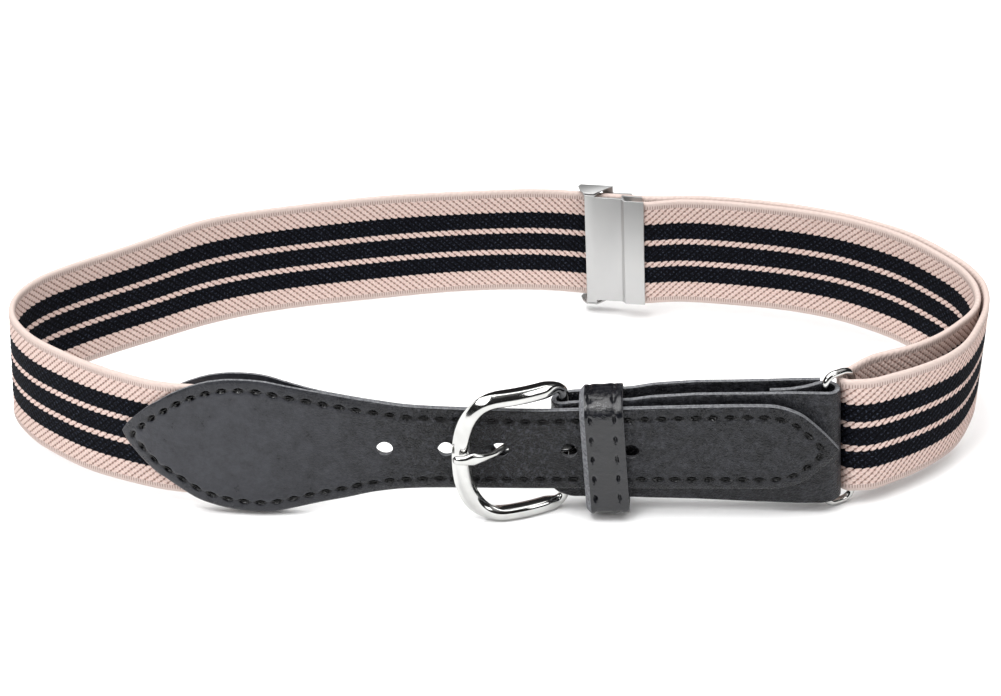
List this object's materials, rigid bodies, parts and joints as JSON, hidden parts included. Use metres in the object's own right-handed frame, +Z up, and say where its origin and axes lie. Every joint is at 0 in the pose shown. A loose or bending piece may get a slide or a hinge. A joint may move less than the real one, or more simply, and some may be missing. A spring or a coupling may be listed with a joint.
{
  "type": "elastic belt",
  "caption": "Child's striped elastic belt with a leaf-shaped leather strap, pin buckle, keeper loop, ring and sliding adjuster with a clamping lever, buckled into its loop.",
  "frame": {"origin": "on the surface that the belt stands on, under the middle of the loop's box", "axes": "+X along the buckled side from the leaf to the ring, -Y out of the buckled side, +Z up across the belt's width"},
  "size_m": [0.2027, 0.0885, 0.032],
  "materials": {
    "elastic": "woven, matt",
    "leather": "satin grain",
    "glossy_leather": "glossy, creased",
    "chrome": "polished"
  },
  "bodies": {
    "belt": {"elastic_strap": "elastic", "billet_front": "leather", "billet_back": "leather", "buckle_tab": "leather", "buckle_frame": "chrome", "buckle_prong": "chrome", "keeper_loop": "glossy_leather", "ring": "chrome", "adjuster_body": "chrome"},
    "lever": {"adjuster_lever": "chrome"}
  },
  "joints": [
    {"name": "adjuster_lever_hinge", "type": "hinge", "parent": "belt", "child": "lever", "pos_m": [0.01768, 0.04106, 0.01698], "axis": [-0.0208, 0.0027, 0.9998], "range_deg": [0, 95]}
  ]
}
